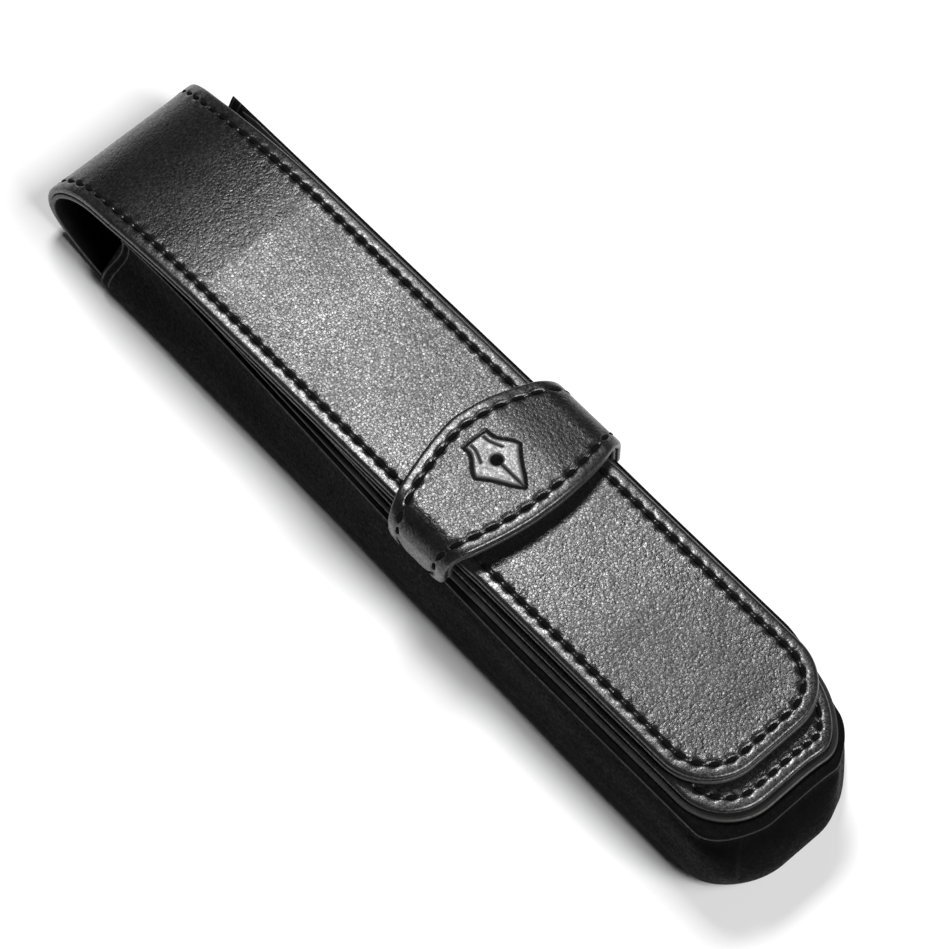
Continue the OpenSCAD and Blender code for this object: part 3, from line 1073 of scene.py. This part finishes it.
def nib_distance(u, v):
    """About how far a place is outside the nib's outline; below 0 inside."""
    slope = (nib_half(u + 0.05) - nib_half(u - 0.05)) / 0.1
    sideways = (np.abs(v) - nib_half(u)) / np.sqrt(1 + np.clip(slope, -3, 3) ** 2)
    return np.maximum(np.maximum(sideways, -NIB_L - u), u - NIB_L - 0.1)


def emblem_marks(a, v):
    """Pressed lines and filled faces of the band's nib device."""
    u, w = v, a - KEEPER_MID
    d = nib_distance(u, w)
    line = np.exp(-((d / 0.24) ** 2) * 1.2)
    hole = np.hypot(u + 0.7, w) - 0.85
    ring = np.exp(-((hole / 0.2) ** 2) * 1.2) + (hole < 0)
    slit = np.exp(-((w / 0.16) ** 2)) * (u > -0.2) * (d < 0.2)
    # Two lines that follow the shoulders, like the scrolls cut on a nib
    scroll = np.abs(np.abs(w) - nib_half(u) * 0.55) / 0.5
    scroll = np.exp(-((scroll / 0.28) ** 2)) * (u < -1.8) * (u > -5.2)
    pressed = np.clip(np.maximum.reduce([line, ring, slit, scroll]), 0, 1)
    filled = np.clip((0.05 - d) / 0.3, 0, 1) * (1 - pressed)
    return pressed, filled


def keeper_rise(a, v):
    """The nib's face stands out a little and its lines are pressed in."""
    pressed, filled = emblem_marks(a, v)
    return 0.1 * filled - 0.26 * pressed


def keeper():
    """The band's leather, finer round the nib, its stitches and its lining."""
    fine_zone = 7.4
    # Large enough to keep the stitch counts of its two edges apart
    far_count = 1000.0
    middle = KEEPER_MID + np.linspace(-fine_zone, fine_zone, 96)
    spots = np.concatenate([np.linspace(0, middle[0], 50)[:-1], middle,
                            np.linspace(middle[-1], KEEPER_LEN, 54)[1:]])
    edge = Edge(spots, keeper_half_w, columns=110, pitch=KEEPER_PITCH)
    shift = KEEPER_MID / KEEPER_PITCH
    near = edge.count[:edge.near_n] + shift
    edge.count = np.concatenate([near, far_count - near[::-1]])
    obj = sheet("keeper_leather", edge, keeper_place, leather_section(LEATHER, puff=0.26),
                calf_band, rise=keeper_rise, emblem=emblem_marks)
    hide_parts("keeper")
    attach(obj, "pouch")
    numbers = np.arange(math.ceil(near.min() + 0.2), math.floor(near.max() - 0.7) + 1) + 0.5
    numbers = np.concatenate([numbers, far_count - numbers])
    obj = stitches("keeper_stitches", edge, keeper_place, numbers)
    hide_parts("keeper_stitching")
    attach(obj, "pouch")
    short, narrower = 1.2, 0.05
    lining = Edge(np.linspace(short, KEEPER_LEN - short, 110),
                  lambda a: keeper_half_w(a) - narrower, columns=12)
    obj = sheet("keeper_lining_leather", lining,
                lambda a, v, h: keeper_place(a, v, h - LEATHER), plain_section(LINING), skiver)
    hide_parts("keeper_lining")
    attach(obj, "pouch")


keeper()


# ---- stage, light and camera ----
def floor():
    """A wide sheet of plain pale paper under the case."""
    mesh = bpy.data.meshes.new("floor")
    size = 3.0
    corners = [(-size, -size, 0), (size, -size, 0), (size, size, 0), (-size, size, 0)]
    mesh.from_pydata(corners, [], [(0, 1, 2, 3)])
    obj = bpy.data.objects.new("floor", mesh)
    obj.location.z = cad_low[2]
    n = Nodes("floor_paper")
    n.shader.inputs["Base Color"].default_value = (0.9, 0.9, 0.9, 1)
    n.shader.inputs["Roughness"].default_value = 0.9
    n.shader.inputs["Specular IOR Level"].default_value = 0.1
    mesh.materials.append(n.material)
    bpy.context.scene.collection.objects.link(obj)


def softbox(name, direction, distance, width, height, power):
    """A lit rectangle that faces the origin, its width as near to X as it
    can be. direction is where it stands, seen from there."""
    data = bpy.data.lights.new(name, "AREA")
    data.shape = "RECTANGLE"
    data.size = width
    data.size_y = height
    data.energy = power
    obj = bpy.data.objects.new(name, data)
    spot = Vector(direction).normalized() * distance
    obj.location = spot
    back = spot.normalized()
    right = (Vector((1, 0, 0)) - back * back.x).normalized()
    obj.rotation_euler = Matrix((right, back.cross(right), back)).transposed().to_euler()
    bpy.context.scene.collection.objects.link(obj)


def lighting():
    # The key is mirrored in the flap's flat face. The fill keeps the floor
    # white and stands where that face doesn't mirror it
    softbox("key", (-0.375, 0.235, 0.885), distance=0.9, width=0.22, height=0.28, power=5.4)
    softbox("fill", (0.62, 0.10, 0.78), distance=1.2, width=0.5, height=0.5, power=13.0)
    world = bpy.data.worlds.new("studio")
    world.use_nodes = True
    background = world.node_tree.nodes["Background"]
    background.inputs["Color"].default_value = (1.0, 1.0, 1.0, 1)
    background.inputs["Strength"].default_value = 0.02
    bpy.context.scene.world = world
    bpy.context.scene.view_settings.view_transform = "Standard"


def camera():
    """The photograph's view: from the near side and well above."""
    target = Vector((0.0043, 0.0005, 0.0130))
    azimuth, elevation, distance = math.radians(47.62), math.radians(62.46), 0.614
    data = bpy.data.cameras.new("camera")
    data.lens = 151.7
    data.sensor_width = 36
    obj = bpy.data.objects.new("camera", data)
    direction = Vector((math.sin(azimuth) * math.cos(elevation),
                        -math.cos(azimuth) * math.cos(elevation), math.sin(elevation)))
    obj.location = target + direction * distance
    obj.rotation_euler = (-direction).to_track_quat("-Z", "Y").to_euler()
    bpy.context.scene.collection.objects.link(obj)
    bpy.context.scene.camera = obj


floor()
lighting()
camera()
